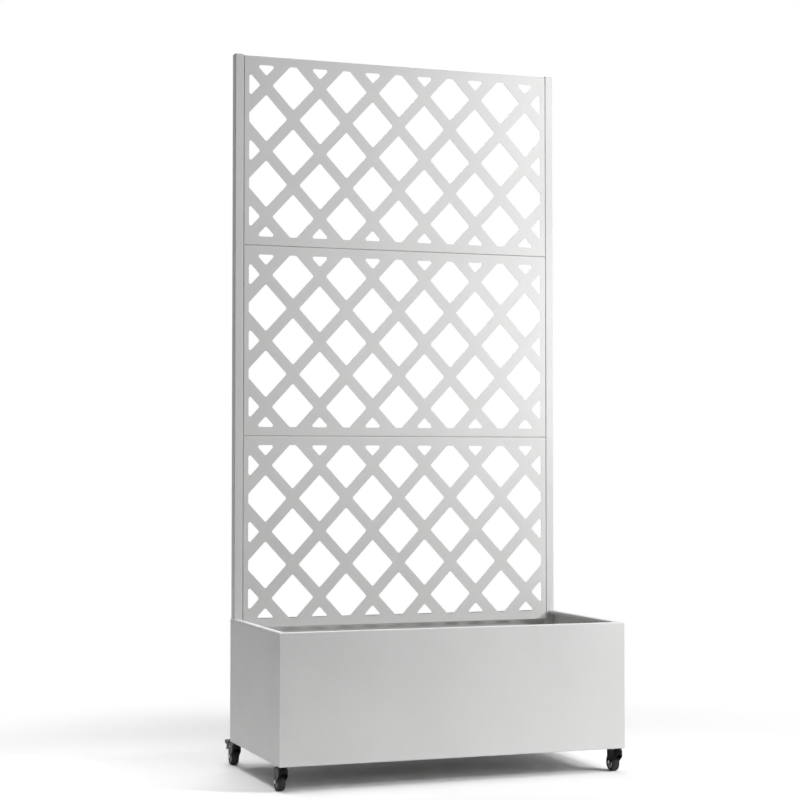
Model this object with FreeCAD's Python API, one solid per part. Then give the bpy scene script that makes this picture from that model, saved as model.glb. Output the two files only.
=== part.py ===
"""Planter box on four swivel casters with a tall lattice trellis along its back.

Millimetres, +X right, +Y to the back, +Z up. The origin is on the floor, under the middle of the
whole footprint.
"""
import FreeCAD, Part
import math
import os

Vector = FreeCAD.Vector

# Overall sizes
overall_height = 1630.0
box_width = 800.0
box_depth = 400.0
wall_height = 280.0

# Folded walls of the box
wall_sheet = 1.2
bend_radius = 1.0
wall_gap = 0.3
foot_width = 18.0
rim_width = 15.0
rim_lip = 7.0
mitre_gap = 0.6
fold_clearance = 1.0

# Floor sheet with pressed ribs and drain holes
floor_sheet = 1.2
floor_gap = 0.5
rib_count = 6
rib_width = 26.0
rib_height = 4.0
rib_corner = 10.0
rib_margin = 50.0
drain_diameter = 8.0
drain_spacing = 180.0

# Posts in the corners
post_width = 20.0
post_depth = 25.0
post_sheet = 1.2
post_corner = 2.0
post_top_gap = 0.5
cap_lip = 2.0
cap_plug = 12.0
plug_clearance = 0.15
insert_brim = 1.5
insert_length = 26.0

# Lattice panels between the rear posts
panel_depth = 18.0
panel_sheet = 1.2
panel_bend = 1.2
panel_gap = 0.4
panel_relief = 3.0
trellis_overlap = 21.0
back_rim_clearance = 1.5
hole_width = 101.2
hole_height = 109.3
column_pitch = 130.0
row_pitch = 152.2
side_border = 12.6
end_border = 20.7
hole_corner = 4.0
hole_corner_share = 0.9
least_hole = 12.0

# Fasteners
stud_diameter = 5.0
stud_end = 1.5
stud_rise = 60.0
stud_drop = 45.0
stud_stagger = 20.0
nut_flats = 8.0
nut_height = 4.0
hole_clearance = 0.25
thread_clearance = 0.05
screw_diameter = 5.0
screw_head_diameter = 9.5
screw_head_top = 6.0
screw_head_height = 2.8
screw_reach = 7.0
screw_inset = 75.0
seam_bolt_count = 3
seam_bolt_pitch = 260.0

# Casters: stem and swivel
stem_diameter = 8.0
stem_length = 22.0
collar_flats = 13.0
collar_height = 2.0
race_diameter = 19.0
race_height = 1.2
bush_diameter = 17.0
bush_height = 1.4
pin_diameter = 7.0
rivet_diameter = 11.0
rivet_height = 2.0
swivel_gap = 0.3
running_clearance = 0.05

# Casters: wheel and fork
wheel_diameter = 38.0
tyre_width = 17.0
tyre_thickness = 5.5
tyre_shoulder = 3.0
hub_recess = 1.6
hub_ring = 2.4
hub_dish = 1.6
hub_draft = 0.8
hub_boss_diameter = 11.0
axle_diameter = 5.0
axle_head_diameter = 8.0
axle_head_height = 0.7
trail = 24.0
crown_clearance = 9.9
fork_sheet = 1.2
fork_side_gap = 0.8
boss_gap = 0.5
fork_rear = 32.0
fork_skirt = 8.5
fork_cheek = 21.0
fork_edge = 2.0
arm_radius = 5.5

# Casters: brake pedal of the rear pair
pedal_side_gap = 0.6
pedal_top_gap = 0.5
pedal_tyre_gap = 1.4
pedal_pin_diameter = 3.0
pedal_pin_lead = 4.0
pedal_angle = 12.0
brake_gap = 0.35
pedal_rear_gap = 4.0
pedal_rise_run = 2.0
tab_drop = 2.0
tab_reach = 34.0
tab_thickness = 4.6
tab_corner = 4.0
web_thickness = 13.0
lip_reach = 20.0
lip_drop = 6.4
lip_thickness = 3.0
shoe_start = 8.0
shoe_drop = 4.4

# Cuts run past the faces they open by this much.
overrun = 1.0

SIDES = (("left", -1), ("right", 1))
ENDS = (("front", -1), ("rear", 1))
PANELS = ("lower", "middle", "upper")
X_AXIS = Vector(1, 0, 0)
Y_AXIS = Vector(0, 1, 0)
Z_AXIS = Vector(0, 0, 1)
ORIGIN = Vector(0, 0, 0)

# Heights that follow from the sizes above
fork_top_drop = collar_height + race_height + bush_height + swivel_gap
box_bottom = fork_top_drop + fork_sheet + crown_clearance + wheel_diameter
rim_level = box_bottom + wall_height
post_top = overall_height - cap_lip
trellis_bottom = rim_level - trellis_overlap
panel_pitch = (post_top - trellis_bottom + panel_gap) / len(PANELS)
panel_height = panel_pitch - panel_gap

# Places that follow from the sizes above
post_x = box_width / 2 - wall_sheet - post_width / 2
post_y = box_depth / 2 - wall_sheet - post_depth / 2
inner_x = post_x - post_width / 2
inner_y = post_y - post_depth / 2
panel_width = 2 * (inner_x - panel_gap)
panel_front = inner_y
fold_middle = panel_front + panel_depth / 2
rear_reach = post_y + fork_rear + tab_reach
frame_shift = Vector(0, (box_depth / 2 - rear_reach) / 2, 0)

# Swivel axis to wheel and pedal, measured from the foot of the post
axle_level = wheel_diameter / 2 - box_bottom
fork_inner = tyre_width / 2 + fork_side_gap
fork_outer = fork_inner + fork_sheet
knuckle_radius = (crown_clearance - pedal_top_gap - pedal_tyre_gap) / 2
pedal_pin_y = trail - pedal_pin_lead
pedal_pin_level = -fork_top_drop - fork_sheet - pedal_top_gap - knuckle_radius


def block(x_range, y_range, z_range):
    """Box between two values on each axis."""
    low = Vector(x_range[0], y_range[0], z_range[0])
    return Part.makeBox(x_range[1] - low.x, y_range[1] - low.y, z_range[1] - low.z, low)


def rod(diameter, start, axis, length):
    """Round bar from a start point along an axis."""
    return Part.makeCylinder(diameter / 2, length, start, axis)


def rounded_face(corners):
    """Flat face through (point, radius) corners, each rounded to its own radius."""
    starts, middles, ends = [], [], []
    for index, (point, radius) in enumerate(corners):
        before = (corners[index - 1][0] - point).normalize()
        after = (corners[(index + 1) % len(corners)][0] - point).normalize()
        half_angle = before.getAngle(after) / 2
        towards_centre = (before + after).normalize()
        starts.append(point + before * (radius / math.tan(half_angle)))
        ends.append(point + after * (radius / math.tan(half_angle)))
        middles.append(point + towards_centre * (radius / math.sin(half_angle) - radius))
    edges = []
    for index, (point, radius) in enumerate(corners):
        edges.append(Part.LineSegment(ends[index - 1], starts[index]).toShape())
        if radius > 0:
            edges.append(Part.Arc(starts[index], middles[index], ends[index]).toShape())
    return Part.Face(Part.Wire(edges))


def polygon_face(points):
    """Flat face through sharp corners."""
    return Part.Face(Part.makePolygon(points + points[:1]))


def rounded_bar(width, depth, radius, centre, z_range):
    """Upright bar with a rounded rectangular section."""
    places = [(1, 1), (-1, 1), (-1, -1), (1, -1)]
    corners = []
    for x_sign, y_sign in places:
        point = Vector(centre.x + x_sign * width / 2, centre.y + y_sign * depth / 2, z_range[0])
        corners.append((point, radius))
    return rounded_face(corners).extrude(Z_AXIS * (z_range[1] - z_range[0]))


def hexagon(flats, start, axis, length):
    """Six-sided bar from a start point along an axis."""
    radius = flats / math.sqrt(3)
    points = []
    for turn in range(6):
        angle = turn * math.pi / 3
        points.append(Vector(radius * math.cos(angle), radius * math.sin(angle), 0))
    bar = polygon_face(points).extrude(Z_AXIS * length)
    bar.Placement = FreeCAD.Placement(start, FreeCAD.Rotation(Z_AXIS, axis))
    return bar


def nut(start, axis):
    """Hexagon nut whose seat is at the start point."""
    bore = rod(stud_diameter + 2 * thread_clearance, start, axis, nut_height)
    return hexagon(nut_flats, start, axis, nut_height).cut(bore)


def screw(seat, axis, length):
    """Low-headed screw: head behind the seat point, shank along the axis."""
    head = Part.makeCone(screw_head_diameter / 2, screw_head_top / 2, screw_head_height, seat, -axis)
    return head.fuse(rod(screw_diameter, seat, axis, length)).removeSplitter()


# Walls: modelled with the outer face at y = 0, the inside towards +Y and the foot at z = 0

def folded_wall(length, rim, lip):
    """Sheet wall with a foot fold, a rim fold and, where lip isn't zero, a lip turned down from it."""
    top = wall_height
    outer = [(foot_width, 0), (0, 0), (0, top), (rim, top)]
    inner = [(foot_width, wall_sheet), (wall_sheet, wall_sheet), (wall_sheet, top - wall_sheet)]
    if lip > 0:
        outer.append((rim, top - lip))
        inner += [(rim - wall_sheet, top - wall_sheet), (rim - wall_sheet, top - lip)]
    else:
        inner.append((rim, top - wall_sheet))
    outer_radii = [0] + [bend_radius + wall_sheet] * (len(outer) - 2) + [0]
    inner_radii = [0] + [bend_radius] * (len(inner) - 2) + [0]
    section = list(zip(outer, outer_radii)) + list(zip(inner, inner_radii))[::-1]
    corners = [(Vector(-length / 2, y, z), radius) for (y, z), radius in section]
    return rounded_face(corners).extrude(X_AXIS * length)


def fold_trim(x_range, level_range):
    """Block that removes a stretch of fold from behind a wall's plain sheet."""
    return block(x_range, (wall_sheet, foot_width + rim_width), level_range)


def foot_trims(half_keep, half_length):
    """Blocks that end a foot fold before the posts."""
    levels = (-overrun, wall_sheet + bend_radius)
    far = half_length + overrun
    return [fold_trim((half_keep, far), levels), fold_trim((-far, -half_keep), levels)]


def rim_levels():
    """Heights between which a rim fold and its lip lie."""
    return wall_height - rim_lip - wall_sheet - bend_radius, wall_height + overrun


def mitre_trim(half_span):
    """Prism that cuts the rim fold at 45 degrees towards a box corner."""
    low, high = rim_levels()
    start = half_span - mitre_gap / 2
    far_y = rim_width + overrun
    points = [
        Vector(start - wall_sheet, wall_sheet, low),
        Vector(start - far_y, far_y, low),
        Vector(half_span + overrun, far_y, low),
        Vector(half_span + overrun, wall_sheet, low),
    ]
    return polygon_face(points).extrude(Z_AXIS * (high - low))


def stand_wall(wall, quarter_turns, offset):
    """Turn a wall to its side of the box and set it in place."""
    wall = wall.copy()
    wall.rotate(ORIGIN, Z_AXIS, 90 * quarter_turns)
    wall.translate(offset + Z_AXIS * box_bottom)
    return wall


def make_walls():
    """Front and back walls over the full width, side walls between them."""
    keep_x = inner_x - fold_clearance
    keep_y = inner_y - fold_clearance
    half_width = box_width / 2
    half_depth = box_depth / 2

    mitre = mitre_trim(half_width)
    other_mitre = mitre.mirror(ORIGIN, X_AXIS)
    front = folded_wall(box_width, rim_width, rim_lip)
    front = front.cut(foot_trims(keep_x, half_width) + [mitre, other_mitre])

    back_rim = half_depth - panel_front - panel_depth - back_rim_clearance
    far_x = half_width + overrun
    back = folded_wall(box_width, back_rim, 0)
    rim_ends = [fold_trim((keep_x, far_x), rim_levels()), fold_trim((-far_x, -keep_x), rim_levels())]
    back = back.cut(foot_trims(keep_x, half_width) + rim_ends)

    side_length = box_depth - 2 * (wall_sheet + wall_gap)
    rear_end = fold_trim((-half_depth - overrun, -keep_y), rim_levels())
    left = folded_wall(side_length, rim_width, rim_lip)
    left = left.cut(foot_trims(keep_y, half_depth) + [mitre_trim(half_depth), rear_end])
    left = stand_wall(left, -1, Vector(-half_width, 0, 0))
    return {
        "front_wall": stand_wall(front, 0, Vector(0, -half_depth, 0)),
        "back_wall": stand_wall(back, 2, Vector(0, half_depth, 0)),
        "left_wall": left,
        "right_wall": left.mirror(ORIGIN, X_AXIS),
    }


def make_floor():
    """Loose floor sheet on the foot folds, notched round the posts, with ribs and drain holes."""
    half_x = box_width / 2 - wall_sheet - bend_radius - floor_gap
    half_y = box_depth / 2 - wall_sheet - bend_radius - floor_gap
    notch_x = inner_x - fold_clearance
    notch_y = inner_y - fold_clearance
    low = box_bottom + wall_sheet
    high = low + floor_sheet
    floor = block((-half_x, half_x), (-notch_y, notch_y), (low, high))
    floor = floor.fuse(block((-notch_x, notch_x), (-half_y, half_y), (low, high))).removeSplitter()

    rib_pitch = 2 * half_x / rib_count
    rib_length = 2 * (half_y - rib_margin)
    ribs, pockets, drains = [], [], []
    for index in range(rib_count):
        middle = Vector((index - (rib_count - 1) / 2) * rib_pitch, 0, 0)
        ribs.append(rounded_bar(rib_width, rib_length, rib_corner, middle, (low, high + rib_height)))
        pockets.append(rounded_bar(
            rib_width - 2 * floor_sheet, rib_length - 2 * floor_sheet, rib_corner - floor_sheet,
            middle, (low - overrun, low + rib_height)))
    for index in range(rib_count - 1):
        x = (index - (rib_count - 2) / 2) * rib_pitch
        for y in (-drain_spacing / 2, drain_spacing / 2):
            start = Vector(x, y, low - overrun)
            drains.append(rod(drain_diameter, start, Z_AXIS, floor_sheet + 2 * overrun))
    return {"floor_panel": floor.fuse(ribs).removeSplitter().cut(pockets + drains)}


# Posts, their caps and the inserts in their feet

def stud_levels(along_y):
    """Heights of the two studs in each wall end; the two directions miss each other in a post."""
    shift = 0 if along_y else stud_stagger
    return box_bottom + stud_rise + shift, trellis_bottom - stud_drop + shift


def screw_levels():
    """Heights of the screws through the lattice panels' side folds."""
    levels = []
    for index in range(len(PANELS)):
        bottom = trellis_bottom + index * panel_pitch
        levels += [bottom + screw_inset, bottom + panel_height - screw_inset]
    return levels


def post_centre(x_sign, y_sign, level):
    """Middle of a post at a height."""
    return Vector(x_sign * post_x, y_sign * post_y, level)


def tube_top(y_sign):
    """Height of a post's tube: the rear pair carries the trellis, the front pair ends under the rim."""
    return post_top if y_sign > 0 else rim_level - rim_lip - post_top_gap - cap_lip


def make_post(x_sign, y_sign):
    """Rectangular tube, drilled for the wall studs and, at the back, for the panel screws."""
    centre = post_centre(x_sign, y_sign, 0)
    top = tube_top(y_sign)
    foot = box_bottom + insert_brim
    tube = rounded_bar(post_width, post_depth, post_corner, centre, (foot, top))
    bore = rounded_bar(
        post_width - 2 * post_sheet, post_depth - 2 * post_sheet, post_corner - post_sheet,
        centre, (foot - overrun, top + overrun))
    hole = stud_diameter + 2 * hole_clearance
    cuts = [bore]
    for level in stud_levels(along_y=True):
        start = post_centre(x_sign, y_sign, level) - Y_AXIS * post_depth
        cuts.append(rod(hole, start, Y_AXIS, 2 * post_depth))
    for level in stud_levels(along_y=False):
        start = post_centre(x_sign, y_sign, level) - X_AXIS * post_width
        cuts.append(rod(hole, start, X_AXIS, 2 * post_width))
    if y_sign > 0:
        for level in screw_levels():
            start = Vector(x_sign * post_x, fold_middle, level)
            cuts.append(rod(screw_diameter + 2 * thread_clearance, start, X_AXIS * -x_sign, post_width))
    return tube.cut(cuts)


def plug(centre, plug_range, lip_range):
    """Moulded plug in a tube's end with a lip of the tube's own outline."""
    room = 2 * (post_sheet + plug_clearance)
    body = rounded_bar(
        post_width - room, post_depth - room, post_corner - post_sheet, centre, plug_range)
    lip = rounded_bar(post_width, post_depth, post_corner, centre, lip_range)
    return body.fuse(lip).removeSplitter()


def make_posts():
    """Four posts with their caps and the threaded inserts for the casters."""
    nodes = {}
    inserts = []
    for end, y_sign in ENDS:
        for side, x_sign in SIDES:
            centre = post_centre(x_sign, y_sign, 0)
            foot = box_bottom + insert_brim
            top = tube_top(y_sign)
            nodes[f"{end}_{side}_post"] = make_post(x_sign, y_sign)
            nodes[f"{end}_{side}_post_cap"] = plug(centre, (top - cap_plug, top), (top, top + cap_lip))
            insert = plug(centre, (foot, foot + insert_length), (box_bottom, foot))
            thread = rod(
                stem_diameter + 2 * thread_clearance, centre + Z_AXIS * (box_bottom - overrun),
                Z_AXIS, stem_length + 2 * overrun)
            inserts.append(insert.cut(thread))
    nodes["caster_inserts"] = Part.makeCompound(inserts)
    return nodes


# Lattice panels

def tray(x_half, y_range, z_range, radius):
    """Block with its four front edges rounded."""
    body = block((-x_half, x_half), y_range, z_range)
    front = [edge for edge in body.Edges if edge.BoundBox.YMax < y_range[0] + radius]
    return body.makeFillet(radius, front)


def clip(points, axis, limit):
    """Part of a convex outline that reaches no further than the limit along an axis."""
    kept = []
    for index, point in enumerate(points):
        before = points[index - 1]
        past = point.dot(axis) - limit
        past_before = before.dot(axis) - limit
        if (past > 0) != (past_before > 0):
            kept.append(before + (point - before) * (past_before / (past_before - past)))
        if past <= 0:
            kept.append(point)
    return kept


def corner_room(points):
    """Largest corner radius that every edge of a convex outline has room for."""
    count = len(points)
    spans = []
    for index, point in enumerate(points):
        before = points[index - 1] - point
        after = points[(index + 1) % count] - point
        spans.append(1 / math.tan(before.getAngle(after) / 2))
    room = []
    for index, point in enumerate(points):
        room.append((points[index - 1] - point).Length / (spans[index - 1] + spans[index]))
    return min(room)


def lattice_hole(centre, x_half, z_half):
    """Diamond about a place on the panel, clipped by the borders and rounded, or None if little is left."""
    points = [
        centre + X_AXIS * (hole_width / 2), centre + Z_AXIS * (hole_height / 2),
        centre - X_AXIS * (hole_width / 2), centre - Z_AXIS * (hole_height / 2)]
    for axis, limit in ((X_AXIS, x_half), (-X_AXIS, x_half), (Z_AXIS, z_half), (-Z_AXIS, z_half)):
        points = clip(points, axis, limit)
    if len(points) < 3:
        return None
    wide = max(point.x for point in points) - min(point.x for point in points)
    high = max(point.z for point in points) - min(point.z for point in points)
    if min(wide, high) < least_hole:
        return None
    radius = min(hole_corner, hole_corner_share * corner_room(points))
    return rounded_face([(point, radius) for point in points])


def lattice_holes(bottom):
    """Staggered diamonds, centred on the panel."""
    x_half = panel_width / 2 - side_border
    z_half = panel_height / 2 - end_border
    last_column = math.ceil(2 * (x_half + hole_width) / column_pitch)
    last_row = math.ceil(2 * (z_half + hole_height) / row_pitch)
    place = Vector(0, panel_front - overrun, bottom + panel_height / 2)
    holes = []
    for row in range(-last_row, last_row + 1):
        for column in range(-last_column, last_column + 1):
            centre = Vector(column * column_pitch / 2, 0, row * row_pitch / 2)
            hole = lattice_hole(centre, x_half, z_half) if (row + column) % 2 == 0 else None
            if hole:
                holes.append(hole.translated(place).extrude(Y_AXIS * (panel_sheet + 2 * overrun)))
    return holes


def fold_holes(bottom):
    """Screw holes in the side folds and bolt holes in the top and bottom folds."""
    cuts = []
    hole = screw_diameter + 2 * hole_clearance
    for level in (bottom + screw_inset, bottom + panel_height - screw_inset):
        start = Vector(-panel_width, fold_middle, level)
        cuts.append(rod(hole, start, X_AXIS, 2 * panel_width))
    for x in seam_bolt_places():
        start = Vector(x, fold_middle, bottom - overrun)
        cuts.append(rod(hole, start, Z_AXIS, panel_height + 2 * overrun))
    return cuts


def corner_reliefs(bottom):
    """Small openings where two folds would meet at a corner."""
    depth = (panel_front + panel_sheet + panel_bend, panel_front + panel_depth + overrun)
    x_range = (panel_width / 2 - panel_relief, panel_width / 2 + overrun)
    top = bottom + panel_height
    cuts = []
    for z_range in ((bottom - overrun, bottom + panel_relief), (top - panel_relief, top + overrun)):
        corner = block(x_range, depth, z_range)
        cuts += [corner, corner.mirror(ORIGIN, X_AXIS)]
    return cuts


def make_panel(bottom):
    """Pan of folded sheet, open at the back, with the lattice cut through its front."""
    back = panel_front + panel_depth
    top = bottom + panel_height
    pan = tray(panel_width / 2, (panel_front, back), (bottom, top), panel_bend + panel_sheet)
    hollow = tray(
        panel_width / 2 - panel_sheet, (panel_front + panel_sheet, back + overrun),
        (bottom + panel_sheet, top - panel_sheet), panel_bend)
    pan = pan.cut(hollow).cut(corner_reliefs(bottom) + fold_holes(bottom))
    return pan.cut(lattice_holes(bottom))


def make_trellis():
    """Panels alike, one above the other."""
    nodes = {}
    for index, name in enumerate(PANELS):
        nodes[f"{name}_lattice_panel"] = make_panel(trellis_bottom + index * panel_pitch)
    return nodes


# Fasteners

def seam_bolt_places():
    """Places along X of the bolts that hold two panels together."""
    middle = (seam_bolt_count - 1) / 2
    return [(index - middle) * seam_bolt_pitch for index in range(seam_bolt_count)]


def make_wall_fasteners():
    """Studs on the walls' inner faces, through the posts, with nuts on the far side."""
    studs, nuts = [], []
    for _, y_sign in ENDS:
        for _, x_sign in SIDES:
            runs = [(Y_AXIS * -y_sign, post_depth, level) for level in stud_levels(along_y=True)]
            runs += [(X_AXIS * -x_sign, post_width, level) for level in stud_levels(along_y=False)]
            for axis, grip, level in runs:
                start = post_centre(x_sign, y_sign, level) - axis * (grip / 2)
                studs.append(rod(stud_diameter, start, axis, grip + nut_height + stud_end))
                nuts.append(nut(start + axis * grip, axis))
    return {"wall_studs": Part.makeCompound(studs), "wall_nuts": Part.makeCompound(nuts)}


def make_panel_fasteners():
    """Screws from the panels into the posts, and bolts with nuts where two panels meet."""
    screws, bolts, nuts = [], [], []
    for _, x_sign in SIDES:
        for level in screw_levels():
            seat = Vector(x_sign * (panel_width / 2 - panel_sheet), fold_middle, level)
            length = panel_sheet + panel_gap + post_sheet + screw_reach
            screws.append(screw(seat, X_AXIS * x_sign, length))
    grip = 2 * panel_sheet + panel_gap
    for index in range(1, len(PANELS)):
        level = trellis_bottom + index * panel_pitch + panel_sheet
        for x in seam_bolt_places():
            seat = Vector(x, fold_middle, level)
            bolts.append(screw(seat, -Z_AXIS, grip + nut_height + stud_end))
            nuts.append(nut(seat - Z_AXIS * grip, -Z_AXIS))
    return {
        "panel_screws": Part.makeCompound(screws),
        "seam_bolts": Part.makeCompound(bolts),
        "seam_nuts": Part.makeCompound(nuts),
    }


# Casters: modelled with the swivel axis on Z, the foot of the post at z = 0 and the wheel trailing to +Y

def turned_wheel(profile):
    """Solid of revolution about the axle from (x, distance from the axle, corner radius)."""
    centre = Vector(0, trail, axle_level)
    corners = [(centre + X_AXIS * x + Z_AXIS * away, radius) for x, away, radius in profile]
    return rounded_face(corners).revolve(centre, X_AXIS, 360)


def make_tyre():
    """Ring with rounded shoulders."""
    half = tyre_width / 2
    outer = wheel_diameter / 2
    inner = outer - tyre_thickness
    return turned_wheel([
        (-half, inner, 0), (half, inner, 0), (half, outer, tyre_shoulder), (-half, outer, tyre_shoulder)])


def make_hub():
    """Disc inside the tyre, dished between its rim ring and the boss on the axle."""
    rim = wheel_diameter / 2 - tyre_thickness
    half = tyre_width / 2 - hub_recess
    dish = half - hub_dish
    boss_half = fork_inner - boss_gap
    boss = hub_boss_diameter / 2
    bore = axle_diameter / 2 + running_clearance
    ring = rim - hub_ring
    side = [
        (half, rim), (half, ring), (dish, ring - hub_draft), (dish, boss), (boss_half, boss),
        (boss_half, bore)]
    outline = side + [(-x, away) for x, away in reversed(side)]
    return turned_wheel([(x, away, 0) for x, away in outline])


def crosswise_rod(diameter, y, level, half_length):
    """Round bar along X through the caster's middle."""
    return rod(diameter, Vector(-half_length, y, level), X_AXIS, 2 * half_length)


def make_axle():
    """Plain axle riveted over on the outside of both fork arms."""
    axle = crosswise_rod(axle_diameter, trail, axle_level, fork_outer)
    for _, x_sign in SIDES:
        seat = Vector(x_sign * fork_outer, trail, axle_level)
        axle = axle.fuse(rod(axle_head_diameter, seat, X_AXIS * x_sign, axle_head_height))
    return axle.removeSplitter()


def make_stem():
    """Threaded stem, hexagon collar, race and swivel pin with its riveted head, in one piece."""
    pin_length = bush_height + 2 * swivel_gap + fork_sheet + rivet_height
    race_level = -collar_height - race_height
    pin_foot = race_level - pin_length
    solids = [
        hexagon(collar_flats, Vector(0, 0, -collar_height), Z_AXIS, collar_height),
        rod(race_diameter, Vector(0, 0, race_level), Z_AXIS, race_height),
        rod(pin_diameter, Vector(0, 0, pin_foot), Z_AXIS, pin_length),
        rod(rivet_diameter, Vector(0, 0, pin_foot), Z_AXIS, rivet_height),
    ]
    return rod(stem_diameter, ORIGIN, Z_AXIS, stem_length).fuse(solids).removeSplitter()


def make_bush():
    """Ring between the stem's race and the fork."""
    foot = Vector(0, 0, swivel_gap - fork_top_drop)
    bore = rod(pin_diameter + 2 * running_clearance, foot, Z_AXIS, bush_height)
    return rod(bush_diameter, foot, Z_AXIS, bush_height).cut(bore)


def tangent_point(point, centre, radius, turn):
    """Where a line from a point touches a circle in the YZ plane; turn picks the side."""
    away = point - centre
    angle = math.atan2(away.z, away.y) + turn * math.acos(radius / away.Length)
    return centre + Vector(0, math.cos(angle), math.sin(angle)) * radius


def fork_side(x):
    """Side outline of the fork: crown, rear cheek, round arm end at the axle and front skirt."""
    top = -fork_top_drop
    axle = Vector(x, trail, axle_level)
    front_top = Vector(x, -fork_outer, top)
    rear_top = Vector(x, fork_rear, top)
    rear_low = Vector(x, fork_rear, top - fork_cheek)
    front_low = Vector(x, -fork_outer, top - fork_skirt)
    rear_touch = tangent_point(rear_low, axle, arm_radius, -1)
    front_touch = tangent_point(front_low, axle, arm_radius, 1)
    arm_end = axle + (rear_touch + front_touch - axle * 2).normalize() * arm_radius
    lines = [
        (front_touch, front_low), (front_low, front_top), (front_top, rear_top),
        (rear_top, rear_low), (rear_low, rear_touch)]
    edges = [Part.LineSegment(*line).toShape() for line in lines]
    edges.append(Part.Arc(rear_touch, arm_end, front_touch).toShape())
    return Part.Face(Part.Wire(edges))


def fork_plan(half_width, rear, z_range):
    """Upright prism with a half-round front about the swivel axis and straight sides."""
    level = z_range[0]
    left_rear = Vector(-half_width, rear, level)
    right_rear = Vector(half_width, rear, level)
    left_front = Vector(-half_width, 0, level)
    right_front = Vector(half_width, 0, level)
    edges = [
        Part.Arc(left_front, Vector(0, -half_width, level), right_front).toShape(),
        Part.LineSegment(right_front, right_rear).toShape(),
        Part.LineSegment(right_rear, left_rear).toShape(),
        Part.LineSegment(left_rear, left_front).toShape(),
    ]
    return Part.Face(Part.Wire(edges)).extrude(Z_AXIS * (z_range[1] - level))


def make_fork(braked):
    """Pressed fork: crown round the swivel pin, two arms to the axle, open behind and below."""
    top = -fork_top_drop
    low = -box_bottom
    shell = fork_plan(fork_outer, fork_rear, (low, top))
    crown_edges = [
        edge for edge in shell.Edges
        if edge.BoundBox.ZMin > top - overrun and edge.BoundBox.YMin < fork_rear - overrun]
    shell = shell.makeFillet(fork_edge, crown_edges)
    shell = shell.common(fork_side(-fork_outer).extrude(X_AXIS * (2 * fork_outer)))
    cuts = [
        fork_plan(fork_inner, fork_rear + overrun, (low - overrun, top - fork_sheet)),
        rod(pin_diameter + 2 * running_clearance, Vector(0, 0, low), Z_AXIS, box_bottom),
        crosswise_rod(axle_diameter + 2 * thread_clearance, trail, axle_level, fork_outer + overrun),
    ]
    if braked:
        hole = pedal_pin_diameter + 2 * thread_clearance
        cuts.append(crosswise_rod(hole, pedal_pin_y, pedal_pin_level, fork_outer + overrun))
    return shell.cut(cuts)


def pedal_outline(x):
    """Side outline of the brake pedal: arm under the crown, rear web with tab and lip, brake shoe."""
    arm_top = pedal_pin_level + knuckle_radius
    arm_low = pedal_pin_level - knuckle_radius
    rear = fork_rear + pedal_rear_gap
    web_back = rear + web_thickness
    tab_low = -tab_drop - tab_thickness
    lip_low = arm_low - lip_drop
    shoe_low = arm_low - shoe_drop
    shoe_front = pedal_pin_y + shoe_start
    outline = [
        (pedal_pin_y, arm_top), (rear - pedal_rise_run, arm_top), (rear, -tab_drop),
        (fork_rear + tab_reach, -tab_drop), (fork_rear + tab_reach, tab_low),
        (web_back, tab_low), (web_back, lip_low + lip_thickness),
        (fork_rear + lip_reach, lip_low + lip_thickness), (fork_rear + lip_reach, lip_low),
        (rear, lip_low), (rear, shoe_low), (shoe_front, shoe_low), (shoe_front, arm_low),
        (pedal_pin_y, arm_low)]
    return polygon_face([Vector(x, y, level) for y, level in outline])


def pedal_tail():
    """Tab, web and lip behind the fork, as wide as the fork and with round corners."""
    tail = pedal_outline(-fork_outer).extrude(X_AXIS * (2 * fork_outer))
    plan = rounded_bar(
        2 * fork_outer, 2 * tab_reach, tab_corner, Vector(0, fork_rear, 0), (-box_bottom, 0))
    rear = fork_rear + pedal_rear_gap
    room = block((-fork_outer, fork_outer), (rear, rear + tab_reach), (-box_bottom, 0))
    return tail.common(plan).common(room)


def make_pedal():
    """Brake pedal, wider behind the fork, whose shoe just clears the tyre when it is pressed."""
    half = fork_inner - pedal_side_gap
    pivot = Vector(0, pedal_pin_y, pedal_pin_level)
    wheel = Vector(0, trail, axle_level) - pivot
    pressed = FreeCAD.Rotation(X_AXIS, pedal_angle).multVec(wheel) + pivot
    arm = pedal_outline(-half).extrude(X_AXIS * (2 * half))
    knuckle = crosswise_rod(2 * knuckle_radius, pivot.y, pivot.z, half)
    blank = arm.fuse([knuckle, pedal_tail()]).removeSplitter()
    bore = crosswise_rod(
        pedal_pin_diameter + 2 * running_clearance, pivot.y, pivot.z, half + overrun)
    tyre_room = crosswise_rod(
        wheel_diameter + 2 * brake_gap, pressed.y, pressed.z, fork_outer + overrun)
    return blank.cut([bore, tyre_room])


def make_casters():
    """Four casters; the rear pair has brake pedals."""
    nodes = {}
    stems, bushes = [], []
    for end, y_sign in ENDS:
        braked = y_sign > 0
        pieces = {
            "fork": make_fork(braked),
            "axle": make_axle(),
            "wheel_hub": make_hub(),
            "tyre": make_tyre(),
        }
        if braked:
            pieces["brake_pedal"] = make_pedal()
            pieces["pedal_pin"] = crosswise_rod(
                pedal_pin_diameter, pedal_pin_y, pedal_pin_level, fork_outer)
        for side, x_sign in SIDES:
            place = post_centre(x_sign, y_sign, box_bottom)
            stems.append(make_stem().translated(place))
            bushes.append(make_bush().translated(place))
            for piece, shape in pieces.items():
                nodes[f"{end}_{side}_{piece}"] = shape.translated(place)
    nodes["caster_stems"] = Part.makeCompound(stems)
    nodes["swivel_bushes"] = Part.makeCompound(bushes)
    return nodes


def main():
    """Build every piece and write one file per node."""
    os.makedirs("parts", exist_ok=True)
    builders = [
        make_walls, make_floor, make_posts, make_trellis,
        make_wall_fasteners, make_panel_fasteners, make_casters]
    for builder in builders:
        for node, shape in builder().items():
            shape.translated(frame_shift).exportStep(f"parts/{node}.step")


main()
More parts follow.
